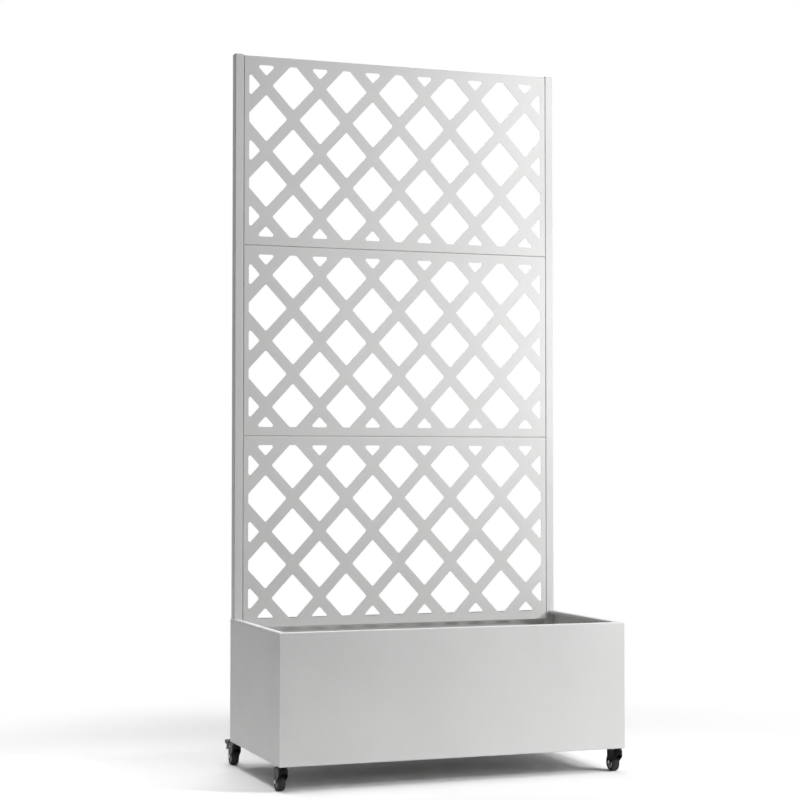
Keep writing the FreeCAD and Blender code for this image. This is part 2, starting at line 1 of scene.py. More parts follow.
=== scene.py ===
"""Looks of the planter with trellis: finishes, small hardware, studio light and camera."""
import logging
import math
from dataclasses import dataclass
from enum import Enum

import bmesh
import bpy
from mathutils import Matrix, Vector


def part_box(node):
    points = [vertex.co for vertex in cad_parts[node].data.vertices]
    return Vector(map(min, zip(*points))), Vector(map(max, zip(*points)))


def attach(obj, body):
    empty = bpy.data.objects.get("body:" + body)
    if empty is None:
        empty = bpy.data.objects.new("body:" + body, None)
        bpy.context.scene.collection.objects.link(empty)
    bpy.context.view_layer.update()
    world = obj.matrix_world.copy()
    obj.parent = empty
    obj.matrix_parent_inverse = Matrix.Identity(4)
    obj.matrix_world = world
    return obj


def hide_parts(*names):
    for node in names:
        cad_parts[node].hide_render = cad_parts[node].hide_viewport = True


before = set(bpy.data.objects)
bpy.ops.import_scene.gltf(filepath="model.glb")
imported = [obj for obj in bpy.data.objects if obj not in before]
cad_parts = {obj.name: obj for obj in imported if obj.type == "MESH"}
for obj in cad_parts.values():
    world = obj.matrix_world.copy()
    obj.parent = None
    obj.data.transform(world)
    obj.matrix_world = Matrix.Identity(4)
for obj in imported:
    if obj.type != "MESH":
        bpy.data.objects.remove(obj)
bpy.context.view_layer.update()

log = logging.getLogger("planter")

ROOT_BODY = "planter"
SMOOTH_LIMIT = math.radians(32)
WELD_DISTANCE = 1e-6
SORT_DIGITS = 5
HEXAGON = 6

Colour = tuple[float, float, float]
Point = tuple[float, float, float]
Profile = list[tuple[float, float]]
Ring = list[bmesh.types.BMVert]


class Corner(Enum):
    """The four corners of the box, each with a post and a caster."""

    FRONT_LEFT = "front_left"
    FRONT_RIGHT = "front_right"
    REAR_LEFT = "rear_left"
    REAR_RIGHT = "rear_right"

    @property
    def braked(self) -> bool:
        """Whether this corner's caster has a brake pedal."""
        return self in (Corner.REAR_LEFT, Corner.REAR_RIGHT)

    def node(self, piece: str) -> str:
        """Name of one of this corner's nodes or bodies."""
        return f"{self.value}_{piece}"


class Axis(Enum):
    """Unit directions of the frame."""

    X = (1.0, 0.0, 0.0)
    Y = (0.0, 1.0, 0.0)
    Z = (0.0, 0.0, 1.0)

    @property
    def vector(self) -> Vector:
        """The direction as a vector."""
        return Vector(self.value)


class Slot(Enum):
    """The record's material slots."""

    PAINTED_SHEET = "painted_sheet"
    PAINTED_TUBE = "painted_tube"
    CAP_PLASTIC = "cap_plastic"
    BLACK_PLASTIC = "black_plastic"
    FORK_STEEL = "fork_steel"
    HUB_PLASTIC = "hub_plastic"
    TYRE_RUBBER = "tyre_rubber"
    BUSH_PLASTIC = "bush_plastic"
    ZINC_STEEL = "zinc_steel"


class NodeTree:
    """The nodes of a material or a world, with short calls to add and join them."""

    noise_low: float = 0.3
    noise_high: float = 0.7
    noise_roughness: float = 0.55

    def __init__(self, owner: bpy.types.ID, output: str = "ShaderNodeOutputMaterial") -> None:
        """Start an empty tree with an output.

        Args:
            owner: The material or world whose tree is filled.
            output: Blender's name of the output node type.
        """
        owner.use_nodes = True
        self.tree = owner.node_tree
        self.tree.nodes.clear()
        self.output = self.add(output)

    def add(self, kind: str, **values: object) -> bpy.types.Node:
        """Add a node.

        Args:
            kind: Blender's name of the node type.
            **values: Attributes of the node, or values of its inputs by name with _ for spaces.

        Returns:
            The new node.
        """
        node = self.tree.nodes.new(kind)
        for name, value in values.items():
            if hasattr(node, name):
                setattr(node, name, value)
            else:
                node.inputs[name.replace("_", " ")].default_value = value
        return node

    def join(self, start: bpy.types.NodeSocket, end: bpy.types.NodeSocket) -> None:
        """Link an output socket to an input socket."""
        self.tree.links.new(start, end)

    def combine(
            self, operation: str, first: bpy.types.NodeSocket,
            second: bpy.types.NodeSocket) -> bpy.types.NodeSocket:
        """Combine two values.

        Args:
            operation: Blender's name of the sum.
            first: First value.
            second: Second value.

        Returns:
            The result's socket.
        """
        node = self.add("ShaderNodeMath", operation=operation)
        self.join(first, node.inputs[0])
        self.join(second, node.inputs[1])
        return node.outputs["Value"]

    def noise(self, size: float, detail: float) -> bpy.types.NodeSocket:
        """Add noise in the frame's own metres.

        Args:
            size: Width of one blotch, in metres.
            detail: Octaves of finer noise.

        Returns:
            The noise value's socket.
        """
        place = self.add("ShaderNodeTexCoord")
        noise = self.add(
            "ShaderNodeTexNoise", Scale=1.0 / size, Detail=detail,
            Roughness=self.noise_roughness)
        self.join(place.outputs["Object"], noise.inputs["Vector"])
        return noise.outputs["Fac"]

    def spread(self, value: bpy.types.NodeSocket, low: float, high: float) -> bpy.types.NodeSocket:
        """Spread a noise value over a range.

        Args:
            value: The noise socket.
            low: Result at the noise's low end.
            high: Result at its high end.

        Returns:
            The result's socket.
        """
        node = self.add(
            "ShaderNodeMapRange", From_Min=self.noise_low, From_Max=self.noise_high, To_Min=low,
            To_Max=high)
        self.join(value, node.inputs["Value"])
        return node.outputs["Result"]

    def shown(self) -> bpy.types.NodeSocket:
        """Whether a ray comes from the camera, or by way of a mirror or clear surface.

        Returns:
            The answer's socket, 0 or 1.
        """
        path = self.add("ShaderNodeLightPath")
        mirrored = self.combine(
            "MAXIMUM", path.outputs["Is Glossy Ray"], path.outputs["Is Transmission Ray"])
        return self.combine("MAXIMUM", path.outputs["Is Camera Ray"], mirrored)


@dataclass(frozen=True)
class Finish:
    """A coated or moulded surface with a fine grain.

    Lengths are in metres. The shade swings about the colour in broad clouds, and the gloss follows
    smaller ones, as sprayed and moulded surfaces do.
    """

    name: str
    slot: Slot
    colour: Colour
    shade_swing: float = 0.03
    cloud_size: float = 0.22
    cloud_detail: float = 3.0
    roughness: float = 0.45
    roughness_swing: float = 0.05
    gloss_size: float = 0.02
    gloss_detail: float = 2.0
    grain_size: float = 0.0016
    grain_height: float = 0.00004
    grain_detail: float = 2.5
    speckle: float = 0.02
    metallic: float = 0.0
    specular: float = 0.45

    def material(self) -> bpy.types.Material:
        """Build the material once and reuse it.

        Returns:
            The material of this finish.
        """
        known = bpy.data.materials.get(self.name)
        if known:
            return known
        material = bpy.data.materials.new(self.name)
        material.diffuse_color = (*self.colour, 1.0)
        nodes = NodeTree(material)
        shader = nodes.add(
            "ShaderNodeBsdfPrincipled", Base_Color=(*self.colour, 1.0), Metallic=self.metallic,
            Specular_IOR_Level=self.specular)
        nodes.join(self.shade(nodes), shader.inputs["Base Color"])
        gloss = nodes.spread(
            nodes.noise(self.gloss_size, self.gloss_detail), self.roughness - self.roughness_swing,
            self.roughness + self.roughness_swing)
        nodes.join(gloss, shader.inputs["Roughness"])
        nodes.join(self.grain(nodes), shader.inputs["Normal"])
        nodes.join(shader.outputs["BSDF"], nodes.output.inputs["Surface"])
        return material

    def shade(self, nodes: NodeTree) -> bpy.types.NodeSocket:
        """Colour with broad clouds and a fine speckle.

        Args:
            nodes: The tree to fill.

        Returns:
            The colour's socket.
        """
        clouds = nodes.spread(
            nodes.noise(self.cloud_size, self.cloud_detail), 1.0 - self.shade_swing,
            1.0 + self.shade_swing)
        specks = nodes.spread(
            nodes.noise(self.grain_size, self.grain_detail), 1.0 - self.speckle,
            1.0 + self.speckle)
        tint = nodes.add("ShaderNodeVectorMath", operation="SCALE")
        tint.inputs[0].default_value = self.colour
        nodes.join(nodes.combine("MULTIPLY", clouds, specks), tint.inputs["Scale"])
        return tint.outputs["Vector"]

    def grain(self, nodes: NodeTree) -> bpy.types.NodeSocket:
        """Raised grain of the coat or of the mould.

        Args:
            nodes: The tree to fill.

        Returns:
            The normal's socket.
        """
        bump = nodes.add("ShaderNodeBump", Strength=1.0, Distance=self.grain_height)
        nodes.join(nodes.noise(self.grain_size, self.grain_detail), bump.inputs["Height"])
        return bump.outputs["Normal"]

    def dress(self, node: str) -> None:
        """Give the finish to a CAD node.

        Args:
            node: Name of the node.
        """
        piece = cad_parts[node]
        if not piece.material_slots:
            piece.data.materials.append(None)
        for slot in piece.material_slots:
            slot.link = "OBJECT"
            slot.material = self.material()
        log.info("node %s in %s", node, self.name)


POWDER_COAT = Finish(
    "powder_coat", Slot.PAINTED_SHEET, (0.66, 0.66, 0.655), roughness=0.44, grain_height=0.00011,
    speckle=0.035, specular=0.42)
POWDER_COAT_TUBE = Finish(
    "powder_coat_tube", Slot.PAINTED_TUBE, (0.65, 0.65, 0.645), roughness=0.42,
    grain_height=0.00011, speckle=0.035, specular=0.42)
CAP_PLASTIC = Finish(
    "cap_plastic", Slot.CAP_PLASTIC, (0.60, 0.60, 0.595), roughness=0.5, grain_size=0.0008)
BLACK_PLASTIC = Finish(
    "black_plastic", Slot.BLACK_PLASTIC, (0.005, 0.005, 0.0054), roughness=0.42, grain_size=0.0007,
    specular=0.1)
BLACK_COAT = Finish(
    "black_coat", Slot.FORK_STEEL, (0.004, 0.004, 0.0043), roughness=0.34, grain_size=0.0011,
    specular=0.1)
HUB_PLASTIC = Finish(
    "hub_plastic", Slot.HUB_PLASTIC, (0.50, 0.50, 0.505), roughness=0.38, grain_size=0.0006)
TYRE_RUBBER = Finish(
    "tyre_rubber", Slot.TYRE_RUBBER, (0.0035, 0.0035, 0.0038), roughness=0.62, grain_size=0.0005,
    grain_height=0.00003, specular=0.05)
BUSH_NYLON = Finish(
    "bush_nylon", Slot.BUSH_PLASTIC, (0.008, 0.008, 0.0085), roughness=0.4, grain_size=0.0005,
    specular=0.2)
ZINC_STEEL = Finish(
    "zinc_steel", Slot.ZINC_STEEL, (0.56, 0.57, 0.58), shade_swing=0.08, cloud_size=0.006,
    roughness=0.3, grain_size=0.0005, grain_height=0.00001, metallic=1.0)


class Mesher:
    """One mesh in the making, with the turned and six-sided forms of small hardware."""

    def __init__(self) -> None:
        """Start with no faces."""
        self.mesh = bmesh.new()

    def ring(self, centre: Vector, axis: Vector, radius: float, sides: int) -> Ring:
        """Add a ring of points.

        Args:
            centre: Middle of the ring.
            axis: Direction that the ring's plane is square to.
            radius: Distance of the points from the middle.
            sides: Number of points.

        Returns:
            The points in order.
        """
        turn = axis.to_track_quat("Z", "Y")
        points = []
        for index in range(sides):
            angle = 2 * math.pi * index / sides
            spoke = Vector((math.cos(angle), math.sin(angle), 0.0)) * radius
            points.append(self.mesh.verts.new(centre + turn @ spoke))
        return points

    def bridge(self, first: Ring, second: Ring) -> None:
        """Join two rings with a band of faces.

        Args:
            first: One ring.
            second: The other ring; the counts of points may differ by a whole factor.
        """
        many, few = (first, second) if len(first) >= len(second) else (second, first)
        step = len(many) // len(few)
        for index, point in enumerate(many):
            following = many[(index + 1) % len(many)]
            near = few[((index + step // 2) // step) % len(few)]
            far = few[((index + 1 + step // 2) // step) % len(few)]
            corners = [point, following, near]
            if far is not near:
                corners.insert(2, far)
            self.mesh.faces.new(corners)

    def sleeve(self, rings: list[Ring], closed: bool) -> None:
        """Join rings in a row.

        Args:
            rings: The rings in order.
            closed: Whether the last ring joins the first; otherwise the ends get caps.
        """
        for first, second in zip(rings, rings[1:]):
            self.bridge(first, second)
        if closed:
            self.bridge(rings[-1], rings[0])
        else:
            self.mesh.faces.new(rings[0])
            self.mesh.faces.new(rings[-1])

    def lathe(
            self, origin: Vector, axis: Vector, profile: Profile, sides: int,
            closed: bool) -> None:
        """Turn a profile about an axis.

        Args:
            origin: Point on the axis that the profile counts from.
            axis: Direction of the axis.
            profile: (distance along the axis, radius) pairs.
            sides: Facets round the axis.
            closed: Whether the last pair joins the first; otherwise the ends get caps.
        """
        rings = [
            self.ring(origin + axis * along, axis, radius, sides) for along, radius in profile]
        self.sleeve(rings, closed)

    def edging(self, outer: list[Vector], inner: list[Vector], drop: Vector) -> None:
        """Add an upright strip between two open lines of points.

        Args:
            outer: Points along the strip's outer face.
            inner: The same number of points along its inner face.
            drop: Step from its upper edge to its lower edge.
        """
        lines = (
            outer, [point + drop for point in outer], [point + drop for point in inner], inner)
        rows = [[self.mesh.verts.new(point) for point in line] for line in lines]
        for first, second in zip(rows, rows[1:] + rows[:1]):
            for index in range(len(first) - 1):
                self.mesh.faces.new(
                    (first[index], first[index + 1], second[index + 1], second[index]))
        for end in (0, -1):
            self.mesh.faces.new([row[end] for row in rows])

    def finish(self, name: str, body: str, finish: Finish, *nodes: str) -> None:
        """Turn the mesh into a piece of the object.

        Args:
            name: Name of the piece.
            body: Body that it moves with.
            finish: Its surface.
            *nodes: CAD nodes that it stands for.
        """
        bmesh.ops.recalc_face_normals(self.mesh, faces=self.mesh.faces[:])
        data = bpy.data.meshes.new(name)
        self.mesh.to_mesh(data)
        self.mesh.free()
        for polygon in data.polygons:
            polygon.use_smooth = True
        data.set_sharp_from_angle(angle=SMOOTH_LIMIT)
        piece = bpy.data.objects.new(name, data)
        bpy.context.scene.collection.objects.link(piece)
        data.materials.append(finish.material())
        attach(piece, body)
        if nodes:
            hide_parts(*nodes)
        log.info("piece %s on %s", name, body)


def middle(node: str) -> Vector:
    """Middle of a CAD node's box."""
    low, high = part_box(node)
    return (low + high) / 2


def solids_of(node: str) -> list[tuple[Vector, Vector]]:
    """Boxes of the separate solids in a CAD node.

    Args:
        node: Name of the node.

    Returns:
        Lowest and highest corner of each solid, left to right, front to back, low to high.
    """
    mesh = bmesh.new()
    mesh.from_mesh(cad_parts[node].data)
    bmesh.ops.remove_doubles(mesh, verts=mesh.verts[:], dist=WELD_DISTANCE)
    mesh.verts.index_update()
    boxes = []
    seen: set[int] = set()
    for start in mesh.verts:
        if start.index in seen:
            continue
        stack, points = [start], []
        seen.add(start.index)
        while stack:
            point = stack.pop()
            points.append(point.co.copy())
            for edge in point.link_edges:
                other = edge.other_vert(point)
                if other.index not in seen:
                    seen.add(other.index)
                    stack.append(other)
        low = Vector(min(values) for values in zip(*points))
        high = Vector(max(values) for values in zip(*points))
        boxes.append((low, high))
    mesh.free()
    return sorted(boxes, key=lambda box: [round(value, SORT_DIGITS) for value in box[0]])


def mirrored(side: Profile) -> Profile:
    """A turned profile that runs from one side's end to the same end of the other side.

    Args:
        side: (distance along the axis, radius) pairs of the positive side; the last may lie at 0.

    Returns:
        The pairs of both sides in one row.
    """
    return side + [(-along, away) for along, away in reversed(side) if along > 0]


def soften(node: str, width: float, steps: int) -> None:
    """Round the sharp edges of a CAD node in view.

    Args:
        node: Name of the node.
        width: Width of the rounding, in metres.
        steps: Facets across it.
    """
    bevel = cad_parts[node].modifiers.new("edge", "BEVEL")
    bevel.width = width
    bevel.segments = steps
    bevel.limit_method = "ANGLE"
    bevel.angle_limit = SMOOTH_LIMIT


@dataclass
class ButtonScrews:
    """Button-head screws with a six-sided socket, in place of one CAD node's plain ones."""

    node: str
    axis: Axis
    head_diameter: float = 0.0095
    head_height: float = 0.0028
    shank_diameter: float = 0.005
    socket_flats: float = 0.003
    socket_depth: float = 0.0016
    sides: int = 36
    dome: tuple[tuple[float, float], ...] = (
        (0.0, 1.0), (0.35, 0.98), (0.68, 0.88), (0.9, 0.72), (1.0, 0.55))

    def build(self) -> None:
        """Build every screw of the node in one piece."""
        mesher = Mesher()
        for low, high in solids_of(self.node):
            self.add_screw(mesher, low, high)
        mesher.finish(f"{self.node}_socketed", ROOT_BODY, ZINC_STEEL, self.node)

    def add_screw(self, mesher: Mesher, low: Vector, high: Vector) -> None:
        """Add one screw where a CAD solid stands.

        Args:
            mesher: The mesh to add to.
            low: Lowest corner of the solid.
            high: Highest corner of the solid.
        """
        centre = (low + high) / 2
        span = (high - low).dot(self.axis.vector)
        # A screw's head is on the inside of the panel's side fold, a bolt's head on top.
        faces_axis = self.axis is Axis.Z or centre.x < 0
        outward = self.axis.vector if faces_axis else -self.axis.vector
        top = centre + outward * span / 2
        seat = top - outward * self.head_height
        shank = self.shank_diameter / 2
        corner = self.socket_flats / math.sqrt(3)
        head = self.head_diameter / 2
        tip = top - outward * span
        rings = [mesher.ring(place, outward, shank, self.sides) for place in (tip, seat)]
        for height_share, width_share in self.dome:
            place = seat + outward * (self.head_height * height_share)
            rings.append(mesher.ring(place, outward, head * width_share, self.sides))
        for place in (top, top - outward * self.socket_depth):
            rings.append(mesher.ring(place, outward, corner, HEXAGON))
        mesher.sleeve(rings, closed=False)


@dataclass
class HexNuts:
    """Hexagon nuts with turned-off corners, in place of one CAD node's plain ones."""

    node: str
    flats: float = 0.008
    bore: float = 0.0051
    edge_share: float = 0.87
    edge_height: float = 0.0007
    sides: int = 24

    def build(self) -> None:
        """Build every nut of the node in one piece."""
        mesher = Mesher()
        for low, high in solids_of(self.node):
            size = high - low
            axis = min(Axis, key=lambda one: size.dot(one.vector))
            self.add_nut(mesher, (low + high) / 2, axis.vector, size.dot(axis.vector))
        mesher.finish(f"{self.node}_chamfered", ROOT_BODY, ZINC_STEEL, self.node)

    def add_nut(self, mesher: Mesher, centre: Vector, axis: Vector, height: float) -> None:
        """Add one nut.

        Args:
            mesher: The mesh to add to.
            centre: Middle of the nut.
            axis: Direction of its bore.
            height: Its height along the bore.
        """
        corner = self.flats / math.sqrt(3)
        half = height / 2
        levels = [
            (-half, corner * self.edge_share), (self.edge_height - half, corner),
            (half - self.edge_height, corner), (half, corner * self.edge_share)]
        rings = [
            mesher.ring(centre + axis * along, axis, radius, HEXAGON) for along, radius in levels]
        for along in (half, -half):
            rings.append(mesher.ring(centre + axis * along, axis, self.bore / 2, self.sides))
        mesher.sleeve(rings, closed=True)


@dataclass
class PlanterBox:
    """Four folded walls, held to the posts by studs and nuts, and the loose floor sheet."""

    sides: tuple[str, ...] = ("front", "back", "left", "right")
    nut_flats: float = 0.008
    nut_bore: float = 0.0051

    def build(self) -> None:
        """Build the nuts on the inside of the posts."""
        HexNuts("wall_nuts", flats=self.nut_flats, bore=self.nut_bore).build()

    def dress(self) -> None:
        """Coat the sheet and plate the fasteners."""
        for side in self.sides:
            POWDER_COAT.dress(f"{side}_wall")
        POWDER_COAT.dress("floor_panel")
        for node in ("wall_studs", "wall_nuts"):
            ZINC_STEEL.dress(node)


@dataclass
class CornerPosts:
    """Four rectangular tubes with plastic end caps."""

    cap_edge: float = 0.0005
    cap_edge_steps: int = 3

    def build(self) -> None:
        """Round the edges of the moulded caps."""
        for corner in Corner:
            soften(corner.node("post_cap"), self.cap_edge, self.cap_edge_steps)

    def dress(self) -> None:
        """Coat the tubes and give the caps their plastic."""
        for corner in Corner:
            POWDER_COAT_TUBE.dress(corner.node("post"))
            CAP_PLASTIC.dress(corner.node("post_cap"))


@dataclass
class Trellis:
    """Three punched lattice panels between the rear posts, screwed to them and to each other."""

    rows: tuple[str, ...] = ("lower", "middle", "upper")
    screw_head: float = 0.0095
    nut_flats: float = 0.008

    def build(self) -> None:
        """Build the screws into the posts and the bolts and nuts of the seams."""
        ButtonScrews("panel_screws", Axis.X, head_diameter=self.screw_head).build()
        ButtonScrews("seam_bolts", Axis.Z, head_diameter=self.screw_head).build()
        HexNuts("seam_nuts", flats=self.nut_flats).build()

    def dress(self) -> None:
        """Coat the panels and plate the fasteners."""
        for row in self.rows:
            POWDER_COAT.dress(f"{row}_lattice_panel")
        for node in ("panel_screws", "seam_bolts", "seam_nuts"):
            ZINC_STEEL.dress(node)


@dataclass
class Caster:
    """Fork, wheel, axle and pedal of one swivel caster."""

    corner: Corner
    wheel_sides: int = 96
    shoulder_steps: int = 6
    shoulder_radius: float = 0.003
    parting_height: float = 0.00025
    parting_width: float = 0.0012
    groove_inset: float = 0.0009
    groove_width: float = 0.0009
    groove_depth: float = 0.0004
    bore_radius: float = 0.00255
    boss_radius: float = 0.0055
    boss_edge: float = 0.0005
    face_drop: float = 0.0019
    dish_depth: float = 0.0016
    rim_width: float = 0.0024
    rim_draft: float = 0.0008
    bead_radius: float = 0.0081
    bead_half: float = 0.0006
    bead_height: float = 0.0005
    axle_radius: float = 0.0025
    axle_sides: int = 48
    head_rise: float = 0.0007
    head_dome: tuple[tuple[float, float], ...] = (
        (1.0, 1.0), (0.45, 0.95), (0.12, 0.7), (0.0, 0.35))
    tab_length: float = 0.017
    tab_thickness: float = 0.0046
    tab_corner: float = 0.004
    tab_corner_steps: int = 6
    edging_drop: float = 0.0032
    edging_wall: float = 0.0016
    edging_root: float = 0.0003
    grip_count: int = 4
    grip_radius: float = 0.0006
    grip_pitch: float = 0.0031
    grip_inset: float = 0.0035
    grip_end: float = 0.0006
    grip_end_share: float = 0.6
    grip_sides: int = 16
    pedal_edge: float = 0.0006
    pedal_edge_steps: int = 3

    def build(self) -> None:
        """Build the caster's pieces."""
        self.build_tyre()
        self.build_hub()
        self.build_axle()
        if self.corner.braked:
            self.build_tread()
            soften(self.corner.node("brake_pedal"), self.pedal_edge, self.pedal_edge_steps)

    def dress(self) -> None:
        """Give the CAD nodes of this caster their finishes."""
        BLACK_COAT.dress(self.corner.node("fork"))
        ZINC_STEEL.dress(self.corner.node("axle"))
        HUB_PLASTIC.dress(self.corner.node("wheel_hub"))
        TYRE_RUBBER.dress(self.corner.node("tyre"))
        if self.corner.braked:
            BLACK_PLASTIC.dress(self.corner.node("brake_pedal"))
            ZINC_STEEL.dress(self.corner.node("pedal_pin"))

    def build_tyre(self) -> None:
        """Tread with round shoulders, a moulding line and a groove round each side."""
        node = self.corner.node("tyre")
        low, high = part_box(node)
        hub_low, hub_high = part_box(self.corner.node("wheel_hub"))
        half = (high.x - low.x) / 2
        tread = (high.z - low.z) / 2 - self.parting_height
        inner = (hub_high.z - hub_low.z) / 2
        groove = inner + self.groove_inset
        side = [
            (half, inner), (half, groove),
            (half - self.groove_depth, groove + self.groove_width / 2),
            (half, groove + self.groove_width)]
        for step in range(self.shoulder_steps + 1):
            angle = math.pi / 2 * step / self.shoulder_steps
            side.append((
                half - self.shoulder_radius * (1 - math.cos(angle)),
                tread - self.shoulder_radius * (1 - math.sin(angle))))
        side += [(self.parting_width / 2, tread), (0.0, tread + self.parting_height)]
        mesher = Mesher()
        mesher.lathe(middle(node), Axis.X.vector, mirrored(side), self.wheel_sides, closed=True)
        mesher.finish(
            self.corner.node("tyre_moulded"), self.corner.node("wheel"), TYRE_RUBBER, node)

    def build_hub(self) -> None:
        """Dished disc with a raised bead and a boss."""
        node = self.corner.node("wheel_hub")
        low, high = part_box(node)
        boss = (high.x - low.x) / 2
        rim = (high.z - low.z) / 2
        face = boss - self.face_drop
        dish = face - self.dish_depth
        bead = dish + self.bead_height
        bead_foot = self.bead_half + self.bead_height
        ring = rim - self.rim_width
        side = [
            (boss, self.bore_radius), (boss, self.boss_radius - self.boss_edge),
            (boss - self.boss_edge, self.boss_radius), (dish, self.boss_radius),
            (dish, self.bead_radius - bead_foot), (bead, self.bead_radius - self.bead_half),
            (bead, self.bead_radius + self.bead_half), (dish, self.bead_radius + bead_foot),
            (dish, ring - self.rim_draft), (face, ring), (face, rim)]
        mesher = Mesher()
        mesher.lathe(middle(node), Axis.X.vector, mirrored(side), self.wheel_sides, closed=True)
        mesher.finish(
            self.corner.node("wheel_hub_dished"), self.corner.node("wheel"), HUB_PLASTIC, node)

    def build_axle(self) -> None:
        """Axle with domed rivet heads."""
        node = self.corner.node("axle")
        low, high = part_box(node)
        half = (high.x - low.x) / 2
        head = (high.z - low.z) / 2
        side = [(half - self.head_rise, self.axle_radius)]
        for depth_share, width_share in self.head_dome:
            side.append((half - self.head_rise * depth_share, head * width_share))
        mesher = Mesher()
        mesher.lathe(
            middle(node), Axis.X.vector, mirrored(side[::-1]), self.axle_sides, closed=False)
        mesher.finish(self.corner.node("axle_domed"), self.corner.node("caster"), ZINC_STEEL, node)

    def tab_line(self, inset: float) -> list[Vector]:
        """Line round the pedal's tab, from the web on the left to the web on the right.

        Args:
            inset: Distance inside the tab's edge.

        Returns:
            Points just above the tab's underside.
        """
        low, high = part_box(self.corner.node("brake_pedal"))
        level = high.z - self.tab_thickness + self.edging_root
        radius = self.tab_corner - inset
        back = high.y - self.tab_corner
        line = [Vector((low.x + inset, high.y - self.tab_length, level))]
        corners = ((low.x + self.tab_corner, math.pi), (high.x - self.tab_corner, math.pi / 2))
        for centre_x, start in corners:
            for step in range(self.tab_corner_steps + 1):
                angle = start - math.pi / 2 * step / self.tab_corner_steps
                line.append(Vector((
                    centre_x + radius * math.cos(angle), back + radius * math.sin(angle),
                    level)))
        line.append(Vector((high.x - inset, high.y - self.tab_length, level)))
        return line

    def build_tread(self) -> None:
        """Bars across the pedal's tab and a turned-down edge round it."""
        low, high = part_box(self.corner.node("brake_pedal"))
        mesher = Mesher()
        mesher.edging(
            self.tab_line(0.0), self.tab_line(self.edging_wall),
            -self.edging_drop * Axis.Z.vector)
        half_width = (high.x - low.x) / 2 - self.grip_inset
        tip = self.grip_radius * self.grip_end_share
        profile = [(half_width, tip), (half_width - self.grip_end, self.grip_radius)]
        for index in range(self.grip_count):
            y = high.y - self.grip_inset - self.grip_radius - self.grip_pitch * index
            centre = Vector(((low.x + high.x) / 2, y, high.z))
            mesher.lathe(centre, Axis.X.vector, mirrored(profile), self.grip_sides, closed=False)
        mesher.finish(self.corner.node("pedal_tread"), self.corner.node("brake"), BLACK_PLASTIC)


@dataclass
class CasterSet:
    """Four casters with the inserts, stems and swivel bushes that carry them."""

    casters: tuple[Caster, ...] = tuple(Caster(corner) for corner in Corner)

    def build(self) -> None:
        """Build every caster."""
        for caster in self.casters:
            caster.build()

    def dress(self) -> None:
        """Finish every caster and what it hangs from."""
        for caster in self.casters:
            caster.dress()
        BLACK_PLASTIC.dress("caster_inserts")
        BLACK_COAT.dress("caster_stems")
        BUSH_NYLON.dress("swivel_bushes")


class LampKind(Enum):
    """Kinds of lamp in the studio."""

    SQUARE = "AREA"
    BEAM = "SPOT"


@dataclass(frozen=True)
class Lamp:
    """A soft lamp; its beam, if it has one, fades all the way from the middle to its edge."""

    name: str
    kind: LampKind
    place: Point
    target: Point
    size: float
    power: float
    beam: float = 44.0

    def build(self) -> None:
        """Hang the lamp and point it at its target."""
        data = bpy.data.lights.new(self.name, self.kind.value)
        data.energy = self.power
        if self.kind is LampKind.SQUARE:
            data.size = self.size
        else:
            data.shadow_soft_size = self.size
            data.spot_size = math.radians(self.beam)
            data.spot_blend = 1.0
        lamp = bpy.data.objects.new(self.name, data)
        lamp.location = self.place
        aim = Vector(self.target) - Vector(self.place)
        lamp.rotation_euler = aim.to_track_quat("-Z", "Y").to_euler()
        lamp.visible_camera = False
        bpy.context.scene.collection.objects.link(lamp)


LAMPS = (
    Lamp("key_light", LampKind.SQUARE, (1.4, -1.2, 2.3), (0.0, 0.0, 0.6), size=0.45, power=28.5),
    Lamp("fill_light", LampKind.SQUARE, (1.4, -1.3, 1.0), (0.0, 0.0, 0.7), size=0.4, power=21.5),
    Lamp("left_light", LampKind.BEAM, (-1.0, 0.0, 2.8), (-1.0, 0.0, 0.0), size=0.6, power=245.0),
    Lamp("back_light", LampKind.SQUARE, (0.4, 2.4, 2.5), (0.0, 0.0, 0.7), size=1.2, power=38.0),
)


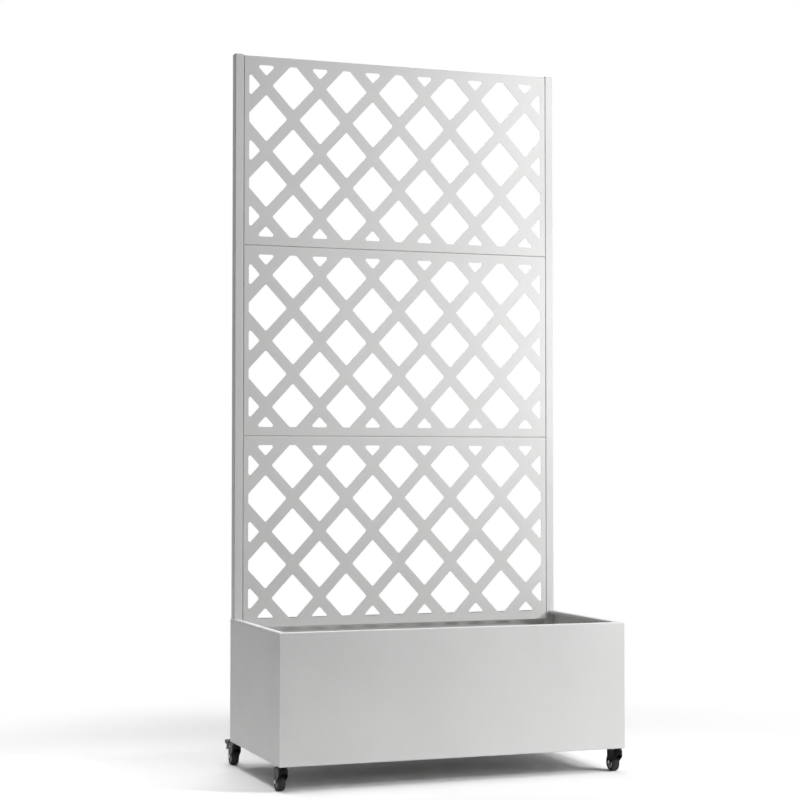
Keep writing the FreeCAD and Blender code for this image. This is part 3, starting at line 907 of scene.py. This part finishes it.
@dataclass
class Studio:
    """Pale floor, soft light and a white surround."""

    floor_half: float = 40.0
    shown_shade: float = 0.92
    near_bounce: float = 0.95
    far_bounce: float = 0.3
    bounce_start: float = 0.5
    bounce_end: float = 1.1
    fade_start: float = 0.6
    fade_end: float = 1.45
    sky_start: float = 0.5
    sky_strength: float = 0.7

    def build(self) -> None:
        """Add the floor, the world and the lamps."""
        self.build_floor()
        self.build_world()
        for lamp in LAMPS:
            lamp.build()

    def build_floor(self) -> None:
        """Large plane on which the casters stand; it shows as white where no shadow falls."""
        half = self.floor_half
        data = bpy.data.meshes.new("studio_floor")
        corners = [(-half, -half, 0.0), (half, -half, 0.0), (half, half, 0.0), (-half, half, 0.0)]
        data.from_pydata(corners, [], [(0, 1, 2, 3)])
        floor = bpy.data.objects.new("studio_floor", data)
        bpy.context.scene.collection.objects.link(floor)
        material = bpy.data.materials.new("studio_floor")
        nodes = NodeTree(material)
        nodes.join(self.floor_shader(nodes), nodes.output.inputs["Surface"])
        data.materials.append(material)

    def floor_shader(self, nodes: NodeTree) -> bpy.types.NodeSocket:
        """Shadowed floor near the object that passes into plain white further out.

        Args:
            nodes: The floor's tree.

        Returns:
            The shader's socket.
        """
        shown = nodes.shown()
        place = nodes.add("ShaderNodeTexCoord")
        away = nodes.add("ShaderNodeVectorMath", operation="LENGTH")
        nodes.join(place.outputs["Object"], away.inputs[0])
        bounce = nodes.add(
            "ShaderNodeMapRange", interpolation_type="SMOOTHSTEP", From_Min=self.bounce_start,
            From_Max=self.bounce_end, To_Min=self.near_bounce, To_Max=self.far_bounce)
        nodes.join(away.outputs["Value"], bounce.inputs["Value"])
        shade = nodes.add("ShaderNodeMix", data_type="FLOAT", B=self.shown_shade)
        nodes.join(shown, shade.inputs["Factor"])
        nodes.join(bounce.outputs["Result"], shade.inputs["A"])
        diffuse = nodes.add("ShaderNodeBsdfDiffuse")
        nodes.join(shade.outputs["Result"], diffuse.inputs["Color"])
        fade = nodes.add(
            "ShaderNodeMapRange", interpolation_type="SMOOTHSTEP", From_Min=self.fade_start,
            From_Max=self.fade_end)
        nodes.join(away.outputs["Value"], fade.inputs["Value"])
        white = nodes.add("ShaderNodeEmission", Color=(1.0, 1.0, 1.0, 1.0), Strength=1.0)
        both = nodes.add("ShaderNodeMixShader")
        nodes.join(nodes.combine("MULTIPLY", fade.outputs["Result"], shown), both.inputs["Fac"])
        nodes.join(diffuse.outputs["BSDF"], both.inputs[1])
        nodes.join(white.outputs["Emission"], both.inputs[2])
        return both.outputs["Shader"]

    def build_world(self) -> None:
        """Broad soft light from overhead in a white surround."""
        world = bpy.data.worlds.new("studio_world")
        bpy.context.scene.world = world
        nodes = NodeTree(world, "ShaderNodeOutputWorld")
        place = nodes.add("ShaderNodeTexCoord")
        parts = nodes.add("ShaderNodeSeparateXYZ")
        nodes.join(place.outputs["Generated"], parts.inputs["Vector"])
        sky = nodes.add("ShaderNodeMapRange", From_Min=self.sky_start, To_Max=self.sky_strength)
        nodes.join(parts.outputs["Z"], sky.inputs["Value"])
        strength = nodes.add("ShaderNodeMix", data_type="FLOAT", B=1.0)
        nodes.join(nodes.shown(), strength.inputs["Factor"])
        nodes.join(sky.outputs["Result"], strength.inputs["A"])
        light = nodes.add("ShaderNodeBackground", Color=(1.0, 1.0, 1.0, 1.0))
        nodes.join(strength.outputs["Result"], light.inputs["Strength"])
        nodes.join(light.outputs["Background"], nodes.output.inputs["Surface"])


@dataclass
class PhotoCamera:
    """Camera at the photograph's viewpoint, found from the object's own edges."""

    focal_pixels: float = 1901.8
    frame_pixels: float = 800.0
    sensor: float = 36.0
    reach: float = 200.0
    aside: float = -1.52593
    stand_off: float = 3.83324
    height: float = 0.68758
    yaw: float = 19.972
    pitch: float = 1.921

    def build(self) -> None:
        """Add the camera and make it the scene's own."""
        data = bpy.data.cameras.new("photo_camera")
        data.sensor_width = self.sensor
        data.lens = self.focal_pixels / self.frame_pixels * self.sensor
        data.clip_end = self.reach
        camera = bpy.data.objects.new("photo_camera", data)
        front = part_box("front_wall")[0].y
        camera.location = (self.aside, front - self.stand_off, self.height)
        tilt = math.pi / 2 + math.radians(self.pitch)
        camera.rotation_euler = (tilt, 0.0, -math.radians(self.yaw))
        bpy.context.scene.collection.objects.link(camera)
        bpy.context.scene.camera = camera


def main() -> None:
    """Build and dress each sub-assembly, then the studio and the camera."""
    logging.basicConfig(level=logging.INFO)
    bpy.context.scene.view_settings.view_transform = "Standard"
    for assembly in (PlanterBox(), CornerPosts(), Trellis(), CasterSet()):
        assembly.build()
        assembly.dress()
    Studio().build()
    PhotoCamera().build()


if __name__ == "__main__":
    main()
